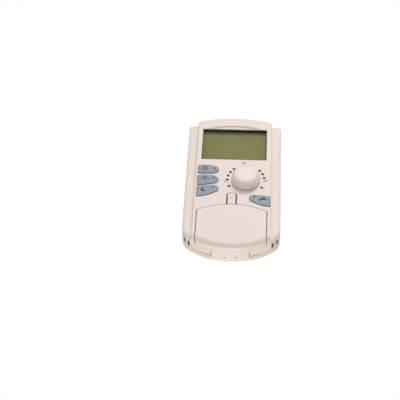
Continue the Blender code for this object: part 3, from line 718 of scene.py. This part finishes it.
# %% [markdown]
# ## Button outlines
# Each button is a leaf: a straight outer edge, two slightly bowed sides and a round
# inner end. The sides leave the corners so that they just touch the round end.

# %% The leaf shape
def tangent_angle(corner, centre, radius, side):
    away = Vector(corner) - Vector(centre)
    return math.degrees(math.atan2(away.y, away.x)) + side * math.degrees(math.acos(radius / away.length))


def bowed_side(start, end, bow):
    start, end = Vector(start), Vector(end)
    along = end - start
    outward = Vector((along.y, -along.x)).normalized()
    shares = [step / 10 for step in range(1, 10)]
    return [tuple(start + along * t + outward * (bow * 4 * t * (1 - t))) for t in shares]


def corner_round(before, corner, after, radius):
    """Replaces a sharp corner with a small curve."""
    before, corner, after = Vector(before), Vector(corner), Vector(after)
    start = corner + (before - corner).normalized() * radius
    end = corner + (after - corner).normalized() * radius
    shares = [step / 4 for step in range(5)]
    return [tuple(start * (1 - t) ** 2 + corner * 2 * t * (1 - t) + end * t ** 2) for t in shares]


def spaced(points, closest=0.08):
    """The same outline without points that all but touch the one before."""
    kept = [points[0]]
    for point in points[1:]:
        if math.dist(point, kept[-1]) > closest and math.dist(point, kept[0]) > closest:
            kept.append(point)
    return kept


def button_outline(shape, grow=0.0, corner=0.9):
    hand = 1 if shape["end"][0] > shape["outer"][0] else -1
    outer_x = shape["outer"][0] * hand - grow
    top, low = shape["outer"][1] + grow, shape["outer"][2] - grow
    centre = (shape["end"][0] * hand, shape["end"][1])
    radius = shape["end"][2] + grow
    first = tangent_angle((outer_x, low), centre, radius, 1)
    last = tangent_angle((outer_x, top), centre, radius, -1)
    end = arc(centre, radius, first % 360 - 360, last % 360, 24)
    lower_side = bowed_side((outer_x, low), end[0], shape["bow"][1])
    upper_side = bowed_side(end[-1], (outer_x, top), shape["bow"][0])
    points = corner_round((outer_x, top), (outer_x, low), lower_side[0], corner)
    points += lower_side + end + upper_side
    points += corner_round(upper_side[-1], (outer_x, top), (outer_x, low), corner)
    if hand < 0:
        points = [(-x, y) for x, y in reversed(points)]
    return spaced(points)


def latch_outline(half_width, grow):
    top = LATCH_TOP_Y + grow
    low = FLAP_TOP_Y + 0.5 - grow
    points = [(LATCH_X - half_width, low), (LATCH_X + half_width, low)]
    for step in range(13):
        t = 1 - step / 6
        points.append((LATCH_X + half_width * t, top - 1.6 * t * t))
    return points


def refined(outline, longest=3.0):
    """The same outline with its long straight sides split into short ones."""
    points = []
    for start, end in zip(outline, outline[1:] + outline[:1]):
        parts = max(1, math.ceil((Vector(end) - Vector(start)).length / longest))
        points += [tuple(Vector(start).lerp(Vector(end), part / parts)) for part in range(parts)]
    return points


print("button outline:", len(button_outline(BUTTONS["sun"])), "points")

# %% [markdown]
# ## Front cover
# The cover is one moulding that clips over the wall plate. Its wings are low with
# soft outer edges. The panel between them stands 5 mm higher, bends down in a large
# round at the bottom and has a rounder brow at the top. It is built as a maker would
# cut the tool: the two blocks joined, hollowed from behind, then every opening cut.
# Openings flare at the face, because a moulded rim is never quite sharp.

# %% Cover shell
def wing_rounding(point, normal):
    top = ramp(point.y, 66, 75)
    return normal * (3.3 - 2.1 * top), 2.0 - 0.9 * top


def panel_easing(point):
    """The panel's sides are crisp and its arch is rounder."""
    brow = ramp(point.y, 73, 79)
    return 1.1 + 1.5 * brow, 1.1 + 1.3 * brow


def lip_well():
    """The space that the flap's lip turns through, round the hinge line."""
    limit = FLAP_HALF + 0.7
    profile = [(0, -limit)]
    for step in range(33):
        x = -limit + 2 * limit * step / 32
        reach = HINGE[0] - bottom_arc_y(x)
        profile.append((math.hypot(reach, HINGE[1] - LIP_LOW) + 0.12, x))
    profile.append((0, limit))
    return laid_along_x(turned("lip_well", profile), HINGE)


def flap_bay_outline():
    side = FLAP_HALF + 0.8
    return mirrored([(0.0, BOTTOM_Y - 10), (side, BOTTOM_Y - 10)] + flap_top_edge(side, 0.35))


SCREWS = [(x, y) for x in (-42.0, 42.0) for y in (66.0, -50.0)]
side, far = TONGUE_HALF, 95.0
skirt_line = [(-far, -far), (-side, -far), (-side, -70), (side, -70)]
skirt_line += [(side, -far), (far, -far), (far, far), (-far, far)]
trough = mirrored(bottom_edge(37.2, BOTTOM_RADIUS - 1) + [(37.2, -58.6)])
key_floor = [(-37.2, -59.5), (37.2, -59.5), (37.2, -39.5), (8.0, -31.0), (-8.0, -31.0), (-37.2, -39.5)]
shell = moulding("front_cover", refined(body_outline()), 0.6, WING_Z, wing_rounding)
panel_bend = bent_foot(PANEL_HALF_WIDTH, *FOOT_BEND, panel_easing)
panel = moulding("panel_block", refined(panel_outline()), 15, FACE_Z, panel_bend, steps=8)
blank = carve(shell, [
    cut(prism("skirt_line", skirt_line, -5, SKIRT_Z)),
    join(panel),
    cut(prism("wing_hollow", inset(body_outline(), WALL), 0, WING_Z - WALL)),
    cut(prism("panel_hollow", inset(panel_outline(), 2.3), 0, FACE_Z - 2.3)),
    join(joined("bosses", [prism("boss", circle(place, 3.0), 9.2, WING_Z - 1) for place in SCREWS])),
    join(prism("latch_pad", rectangle(-8, 6.8, -23.4, -17.2), 21.0, FACE_Z - 1)),
    join(prism("hinge_trough", trough, 9.2, FACE_Z - 5.5)),
    join(prism("key_floor", key_floor, 19.9, FACE_Z - 1)),
])
print("cover blank:", len(blank.polygons), "faces")

# %% Cover openings
brow_pocket = arc((0.0, BROW_TOP_Y - BROW_RADIUS), BROW_RADIUS, 72, 108, 36)
window_outline = rounded_rectangle(DISPLAY, *WINDOW_HALF, (1.1, 0.6, 0.6, 1.1))
inner_slots = prism("air_slot", rectangle(40.5, 42.7, -76.5, -68), 7.9, 16.2)
outer_slots = prism("air_slot", rectangle(44.8, 47.0, -73, -64.5), 7.9, 16.2)
air_slots = [row(inner_slots, 2, (-83.2, 0, 0), cover_white), row(outer_slots, 2, (-91.8, 0, 0), cover_white)]
bars = [rod("hinge_bore", 0.9, -37.0, 37.0, HINGE), rod("latch_bore", 0.9, -7.2, 6.0, LATCH_PIVOT)]
releases = row(prism("release", rectangle(-6.3, -4.7, -90, -82), 6.0, 7.9), 2, (11.0, 0, 0), cover_white)
slits = row(prism("slit", rectangle(-19.6, -18.8, -90, -80.6), -1, 13.4), 2, (38.4, 0, 0), cover_white)
key_outlines = [rounded_rectangle(place, 4.5, 2.6, 1.2) for place in KEY_PLACES]
key_holes = [hole("key_hole", outline, 15, 21.5, 0.2) for outline in key_outlines]
button_gaps = [button_outline(shape, 0.4, 1.2) for shape in BUTTONS.values()]
button_holes = [hole("button_hole", outline, 15, FACE_Z, 0.12) for outline in button_gaps]
cover_mesh = carve(blank, [
    cut(hole("brow_pocket", brow_pocket, FACE_Z - BROW_DEPTH, FACE_Z, 0.85, 6)),
    cut(hole("display_opening", window_outline, 17, FACE_Z - 0.9, 0.12)),
    cut(hole("knob_hole", circle(KNOB, 4.6), 15, FACE_Z, 0.3)),
    *[cut(mesh) for mesh in button_holes],
    cut(hole("flap_bay", flap_bay_outline(), 21.5, FACE_Z, 0.25)),
    cut(hole("latch_bay", latch_outline(LATCH_HALF + 1.25, 0.5), 18, FACE_Z, 0.2)),
    cut(lip_well()),
    cut(joined("key_holes", key_holes)),
    cut(joined("bars", bars)),
    cut(joined("boss_bores", [prism("bore", circle(place, 1.5), 5, 16.5) for place in SCREWS])),
    cut(joined("air_slots", air_slots)),
    cut(releases),
    cut(slits),
])
piece("cover_shell", cover_mesh, cover_white, "base", ["front_cover"])

# %% [markdown]
# ## Wall plate
# The plate screws to the wall through slots that allow it to be levelled. Its rim
# stands up to meet the cover's skirt. Thin-walled knock-outs, outlined by rows of
# small holes, can be broken out for surface cables, and ribs stiffen the tray. The
# large slot lets the cable in and the four small ones take the wall screws.

# %% Wall plate
def tongue_stop(hand):
    """A small block behind the cover's tongue, at one side of the notch."""
    near, far = TONGUE_HALF - 1.6, TONGUE_HALF + 3.0
    corners = [(near, bottom_arc_y(near) + 2.4), (far, bottom_arc_y(far) + 2.4)]
    corners += [(far, bottom_arc_y(far) + 4.4), (near, bottom_arc_y(near) + 4.4)]
    return corners if hand > 0 else [(-x, y) for x, y in reversed(corners)]


def plate_cuts():
    notch = TONGUE_HALF + 0.3
    cuts = [cut(prism("tray", inset(body_outline(), WALL), 2.5, 12)),
            cut(prism("notch", rectangle(-notch, notch, BOTTOM_Y - 5, BOTTOM_Y + 10), -1, 30))]
    for low, high in ((-notch - 10, -notch), (notch, notch + 10)):
        cuts.append(cut(prism("relief", rectangle(low, high, BOTTOM_Y - 5, BOTTOM_Y + 12), 6.0, 30)))
    cuts += [join(prism("tongue_stop", tongue_stop(hand), 0, 6.5)) for hand in (-1, 1)]
    slots = [((0, 33), 20, 11, 3.0), ((0, 68), 5, 2.1, 2.05), ((0, -52), 5, 2.1, 2.05),
             ((-33, 8), 2.1, 5, 2.05), ((33, 8), 2.1, 5, 2.05)]
    for place, half_x, half_y, radius in slots:
        cuts.append(cut(prism("slot", rounded_rectangle(place, half_x, half_y, radius), -1, 5)))
    return cuts


def perforation(centre_y, half_x, count):
    """A row of small blind holes along which a knock-out breaks."""
    pin = prism("perforation", circle((0, 0), 0.5, 12), -1, 1.2)
    pitch = 2 * half_x / (count - 1)
    return moved(row(pin, count, (pitch, 0, 0), housing_white), -half_x, centre_y)


rib = prism("plate_rib", rectangle(-30, 30, -0.5, 0.5), 2.0, 4.4)
upper_ribs = moved(row(rib, 2, (0, 6.0, 0), housing_white), 0, 50)
lower_ribs = moved(row(rib, 3, (0, -7.0, 0), housing_white), 0, -26)
plate = moulding("wall_plate", refined(body_outline()), 0, 6.9, evenly(0.35), steps=3)
perforations = [perforation(78.0, 9.0, 10), perforation(-67.0, 9.0, 10),
                perforation(-8.0, 12.0, 13), perforation(2.0, 12.0, 13)]
pockets = [prism("back_pocket", rounded_rectangle((x, -38), 12, 7, 1.5), -1, 0.7) for x in (-20.0, 20.0)]
plate_mesh = carve(plate, [
    *plate_cuts(),
    join(joined("plate_ribs", [upper_ribs, lower_ribs])),
    cut(joined("perforations", perforations)),
    *[cut(pocket) for pocket in pockets],
])
piece("wall_plate_finished", plate_mesh, housing_white, "base", ["wall_plate"])

# %% [markdown]
# ## Flap
# The flap covers the six service keys. It bends over at its lower edge into a lip
# that carries the hinge bosses, so it folds down out of the face. Three ribs inside
# keep its large flat face from bowing.

# %% Flap
lip_inside = [(x, bottom_arc_y(x, BOTTOM_RADIUS - 2.0)) for x in range(-36, 37, 3)] + [(36, -20), (-36, -20)]
outer = FLAP_HALF - 0.2
ends = [sorted((hand * (outer - 3.4), hand * outer)) for hand in (-1, 1)]
bores = [sorted((hand * (outer - 2.6), hand * (outer + 2.4))) for hand in (-1, 1)]
flap_rib = prism("flap_rib", rectangle(-0.5, 0.5, -66, -38), 23.4, 24.4)
flap_ribs = moved(row(flap_rib, 3, (10.0, 0, 0), cover_white), -10.0, 0)
flap_bend = bent_foot(FLAP_HALF, *FOOT_BEND, lambda point: (0.5, 0.5))
flap_mesh = carve(moulding("flap", refined(flap_outline()), LIP_LOW, FACE_Z, flap_bend, steps=8), [
    cut(prism("flap_inside", lip_inside, 10, 24.0)),
    join(flap_ribs),
    *[join(rod("flap_boss", 1.6, low, high, HINGE)) for low, high in ends],
    *[cut(rod("flap_bore", 1.05, low, high, HINGE)) for low, high in bores],
])
piece("flap_finished", flap_mesh, cover_white, "flap", ["flap"])

# %% [markdown]
# ## Latch
# A short tongue above the flap is pressed to release it. Fine grooves mark the place
# where a fingertip goes, and deep slots on both sides let it move.

# %% Latch
low, high = LATCH_X - LATCH_HALF + 0.4, LATCH_X + LATCH_HALF - 0.4
pivot_y, pivot_z = LATCH_PIVOT
groove = prism("latch_groove", rectangle(-1.7, 1.7, -0.22, 0.22), FACE_Z - 0.25, 27)
grooves = moved(row(groove, 4, (0, -1.2, 0), cover_white), LATCH_X, -22.6)
latch_plan = refined(latch_outline(LATCH_HALF, 0.0), 1.0)
latch_mesh = carve(moulding("flap_latch", latch_plan, 24.4, FACE_Z, evenly(0.5), steps=4), [
    join(prism("latch_lug", rectangle(low, high, pivot_y - 1.05, pivot_y + 1.05), pivot_z, 25)),
    join(rod("latch_barrel", 1.1, low, high, LATCH_PIVOT)),
    join(rod("latch_axle", 0.6, -6.9, 5.7, LATCH_PIVOT)),
    cut(grooves),
])
piece("latch_finished", latch_mesh, cover_white, "flap_latch", ["flap_latch"])

# %% [markdown]
# ## Knob
# The set-point knob is a low dome that narrows towards its top and is undercut at its
# foot, so it seems to float on a thin shadow. Shallow flutes run up its side for grip
# and one deeper groove in the top points at the set value.

# %% Knob
dome = [(14.7, 29.4), (14.62, 30.3), (14.42, 31.3), (14.1, 32.4), (13.65, 33.4), (13.05, 34.4), (12.3, 35.4)]
dome += [(11.7, 36.0), (11.0, 36.5), (10.3, 36.84), (9.6, 37.0)]
foot = [(0, 33.0), (3.3, 33.0), (3.3, 26.9), (9.7, 26.9), (9.7, 26.4), (12.8, 26.4), (13.3, 26.8)]
foot += [(14.4, 28.0), (14.62, 28.4), (14.7, 28.8)]
flute_profile = [(0, 29.2)] + arc((0, 30.2), 1.0, -90, 0, 5)[1:] + arc((0, 33.8), 1.0, 0, 90, 5)
flute = turned("flute", flute_profile, 16)
flutes = ring(flute, 16, 15.2, 11.25, 22.5, knob_white)
pointer = prism("pointer", rounded_rectangle((0, 6.6), 0.45, 2.6, 0.4), 36.55, 38)
knob_mesh = carve(turned("knob", foot + dome + [(0, 37.0)], 120), [cut(flutes), cut(pointer)])
piece("knob_cap", moved(knob_mesh, *KNOB), knob_white, "knob", ["knob"])

# %% [markdown]
# ## Mode buttons
# Four blue-grey leaves choose the mode. Each is a moulded cap on a stem, with a
# smoked lamp window near its round end and a printed sign: a sun for comfort, a
# clock for the automatic programme, a moon for night and a tap for hot water.

# %% Button caps and lamp windows
def button_cap(shape):
    cap = moulding("button", button_outline(shape, corner=1.1), 22.0, CAP_TOP, evenly(0.55), steps=5)
    stem_x = (shape["outer"][0] + shape["light"][0]) / 2
    stem_y = (shape["outer"][1] + shape["outer"][2]) / 2
    stem = prism("stem", rounded_rectangle((stem_x, stem_y), 1.5, 1.5, 0.3, 2), 16.5, 23)
    return carve(cap, [join(stem), cut(prism("lamp_way", circle(shape["light"], 1.25), 15, 28))])


for key, shape in BUTTONS.items():
    body = f"button_{key}"
    piece(f"cap_{key}", button_cap(shape), button_blue, body, [body])
    dome = [(0, 24.6), (1.1, 24.6), (1.1, 26.7)] + arc((0.8, 26.7), 0.3, 0, 70, 3) + [(0, CAP_TOP)]
    lens = moved(turned(f"lamp_window_{key}", dome, 32), *shape["light"])
    piece(f"lamp_window_{key}", lens, smoked_window, body, [f"button_window_{key}"])

# %% Button signs
SIGN = (CAP_TOP - 0.1, CAP_TOP + 0.04)


def frame_ring(name, outer, inner, low, high):
    """A flat ring between two outlines."""
    return carve(prism(name, outer, low, high), [cut(prism("inside", inner, low - 1, high + 1))])


def band(centre, outer_radius, inner_radius):
    return frame_ring("band", circle(centre, outer_radius), circle(centre, inner_radius, 36), *SIGN)


def stroke(start, end, width):
    """A straight printed line."""
    start, end = Vector(start), Vector(end)
    along = (end - start).normalized()
    aside = Vector((-along.y, along.x)) * width / 2
    corners = [start - aside, end - aside, end + aside, start + aside]
    return prism("stroke", [tuple(corner) for corner in corners], *SIGN)


def sun_sign(x, y):
    ray = stroke((0, -0.55), (0, 0.55), 0.8)
    rays = moved(ring(ray, 8, 3.1, 0, 45, button_ink), x, y)
    return joined("sun_sign", [band((x, y), 2.1, 1.3), rays])


def clock_sign(x, y):
    hands = [stroke((x, y - 0.2), (x, y + 1.7), 0.6), stroke((x - 0.2, y), (x + 1.3, y), 0.6)]
    dashes = [stroke((x - 5.4, y), (x - 3.4, y), 0.9), stroke((x + 3.4, y), (x + 5.2, y), 0.9)]
    return joined("clock_sign", [band((x, y), 2.5, 1.8), *hands, *dashes])


def moon_sign(x, y):
    disc = prism("moon_sign", circle((x, y), 2.8), *SIGN)
    return carve(disc, [cut(prism("moon_bite", circle((x + 1.5, y + 0.6), 2.2), 26, 28))])


def tap_sign(x, y):
    drop = prism("drop", circle((x - 3.2, y - 2.6), 0.6, 20), *SIGN)
    body = [stroke((x - 3.8, y), (x + 3.8, y), 1.7), stroke((x - 3.2, y + 0.4), (x - 3.2, y - 1.6), 1.3)]
    handle = stroke((x - 1.9, y + 2.3), (x + 2.3, y + 2.3), 0.9)
    spindle = stroke((x + 0.2, y + 0.5), (x + 0.2, y + 2.4), 0.9)
    return joined("tap_sign", [*body, spindle, handle, drop])


signs = {"sun": sun_sign(-29.4, 13.0), "auto": clock_sign(-28.8, -0.3), "moon": moon_sign(-29.6, -15.2),
         "tap": tap_sign(31.0, -26.4)}
for key, mesh in signs.items():
    piece(f"sign_{key}", mesh, button_ink, f"button_{key}")

# %% [markdown]
# ## Dial print
# Dots on a circle round the knob mark the settings, with a gap on each side before
# the two end marks. Small grey numerals give three temperatures. They are flat
# shapes a few hundredths of a millimetre thick, as printed ink is.

# %% Dots, end marks and numerals
PRINT = (FACE_Z - 0.1, FACE_Z + 0.04)
dot = prism("dot", circle((0, 0), 1.45, 24), *PRINT)
spreads = ((4, -89.6, 16.2), (3, 47.6, 16.3), (2, 120.4, 123.1))
dots = [moved(ring(dot, count, 19.0, first, step, ink), *KNOB) for count, first, step in spreads]
piece("dial_dots", joined("dial_dots", dots), ink, "base")


def numeral(text, x, y, height):
    """Digits as a thin printed mesh, centred on a point of the face."""
    curve = bpy.data.curves.new("numeral", "FONT")
    curve.body = text
    curve.size = height * MM * 1.4
    curve.align_x = "CENTER"
    curve.align_y = "CENTER"
    curve.extrude = 0.00006
    return moved(read_back(linked("numeral", curve)), x, y, FACE_Z)


marks = [numeral("20°", 11.2, 21.8, 3.0), numeral("10°", -7.0, -3.6, 2.7), numeral("30°", 33.4, -1.7, 2.7)]
for name, sides in {"minus": (-5.3, -3.9, -11.3, -10.9), "plus_bar": (31.0, 32.6, -13.4, -13.0),
                    "plus_post": (31.6, 32.0, -14.0, -12.4)}.items():
    marks.append(prism(name, rectangle(*sides), *PRINT))
piece("dial_numerals", joined("dial_numerals", marks), pale_ink, "base")

# %% [markdown]
# ## Display
# The olive cell lies a few millimetres below a clear window. A black gasket holds the window.
# Its lip lines the opening's wall in black as painted shade for that wall's shadow, widest under the top
# edge.

# %% Window, gasket and cell
window_edge = rounded_rectangle(DISPLAY, 35.6, 23.2, 0.8)
lens = moulding("window", window_edge, 22.2, 23.4, evenly(0.15), steps=2)
piece("clear_cover_window", lens, clear_window, "base", ["display_window"])
seat = frame_ring("seat", window_edge, rounded_rectangle(DISPLAY, 34.4, 21.6, 1.0), 21.1, 21.9)
opening = rounded_rectangle(DISPLAY, 33.98, 21.48, (1.1, 0.6, 0.6, 1.1))
inside = rounded_rectangle((0, DISPLAY[1] - 0.2), 33.6, 21.1, (1.0, 0.5, 0.5, 1.0))
# The lip is painted shade: a black ring on the opening's wall above the window, wider under the top edge
# where the shadow is deepest.
lip = frame_ring("lip", opening, inside, 23.45, 24.95)
piece("gasket_with_shade_lip", joined("gasket", [seat, lip]), black_and_shade_liner, "base", ["window_gasket"])
cell = moulding("cell", rounded_rectangle(DISPLAY, 35.2, 22.9, 0.4), 19.0, 20.8, evenly(0.1), steps=2)
piece("display_cell", cell, display_olive, "base", ["lcd_glass"])

# %% [markdown]
# ## Service keys
# Six soft keys stand through the floor under the flap. They are domed silicone, all
# moulded in one mat, and are pressed with a pen or a fingertip.

# %% Service keys
for index, (x, y) in enumerate(KEY_PLACES, start=1):
    key_edge = rounded_rectangle((x, y), 4.2, 2.3, 1.1)
    key_mesh = moulding("key", key_edge, 17.4, 22.7, evenly(0.9, 0.6), steps=5)
    node = f"service_key_{index}"
    piece(f"soft_key_{index}", key_mesh, key_grey, node, [node])

# %% [markdown]
# ## Parts kept from the plain model
# Parts inside the housing already have their right shape. They keep it and only get
# their finished material.

# %% Finishes for the kept parts
KEPT = {
    housing_white: ["rear_housing"],
    reflector_white: ["lcd_holder", "backlight_panel", "bus_connector", "control_shaft"],
    black_and_shade_liner: ["lcd_contact_strip_upper", "lcd_contact_strip_lower"],
    mat_grey: ["key_mat"],
    board_green: ["main_board"],
    black_part: ["terminal_block", "controller_chip", "cell_holder", "room_sensor",
                 *[f"switch_{key}" for key in BUTTONS]],
    plated_steel: ["terminal_screw_1", "terminal_screw_2", *[f"cover_screw_{n}" for n in range(1, 5)],
                   "backup_cell", "encoder_bush", "flap_pin_left", "flap_pin_right"],
    drawn_can: ["timing_crystal", "supply_capacitor", "encoder_body"],
    clear_window: [f"lamp_{key}" for key in BUTTONS],
}
for finish, names in KEPT.items():
    for name in names:
        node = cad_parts[name]
        for index in range(len(node.data.materials)):
            node.data.materials[index] = finish
print("kept parts:", sum(len(names) for names in KEPT.values()))

# %% [markdown]
# ## Studio
# The unit is seen from below against plain white. An even sky lights it from all
# round. One soft lamp high in front lights the face and one low behind lights the
# bottom wall, so the bend between them falls darker and shows its shape. A pale
# floor lies far below, where no view is blocked.

# %% Floor, sky, lamps and camera
def studio_floor():
    finish, graph, shader, place = new_finish("studio_floor")
    colour = graph.blend(graph.noise(place, 1.5), linear(240, 239, 237), linear(234, 233, 231))
    graph.fill(shader, {"Base Color": colour, "Roughness": 0.9})
    mesh = prism("floor", circle((0, 0), 6000, 96), -1520, -1500)
    mesh.materials.append(finish)
    linked("studio_floor", mesh)


def studio_sky(lit, seen):
    """Surfaces are lit by one grey, and behind everything the camera sees white."""
    world = bpy.data.worlds.new("studio_sky")
    world.use_nodes = True
    graph = Graph(world.node_tree)
    direct = graph.add("ShaderNodeLightPath", output="Is Camera Ray")
    graph.feed(world.node_tree.nodes["Background"].inputs["Color"], graph.blend(direct, lit, seen))
    bpy.context.scene.world = world


def soft_lamp(name, place, size, watts):
    lamp = bpy.data.lights.new(name, "AREA")
    lamp.shape = "DISK"
    lamp.size = size
    lamp.energy = watts
    item = linked(name, lamp)
    item.location = place
    item.rotation_euler = (-Vector(place)).to_track_quat("-Z", "Y").to_euler()


def studio_camera(place, heading, pitch, roll, lens):
    """Heading, pitch and roll are in degrees, and the lens is in millimetres."""
    camera = bpy.data.cameras.new("studio_camera")
    camera.lens = lens
    item = linked("studio_camera", camera)
    turn = Matrix.Rotation(math.radians(heading), 4, "Z") @ Matrix.Rotation(math.radians(90 + pitch), 4, "X")
    item.matrix_world = Matrix.Translation(place) @ turn @ Matrix.Rotation(math.radians(roll), 4, "Z")
    bpy.context.scene.camera = item


studio_floor()
studio_sky(lit=(0.63, 0.63, 0.63, 1.0), seen=(1.0, 1.0, 1.0, 1.0))
soft_lamp("upper_lamp", (0.25, -1.7, 1.1), size=1.2, watts=17.0)
soft_lamp("lower_lamp", (-0.1, 0.9, -1.25), size=0.8, watts=9.0)
studio_camera((0.02163, -0.84944, -0.69534), heading=3.755, pitch=38.93, roll=3.89, lens=94.5)
bpy.context.scene.view_settings.view_transform = "Standard"
print("studio ready")
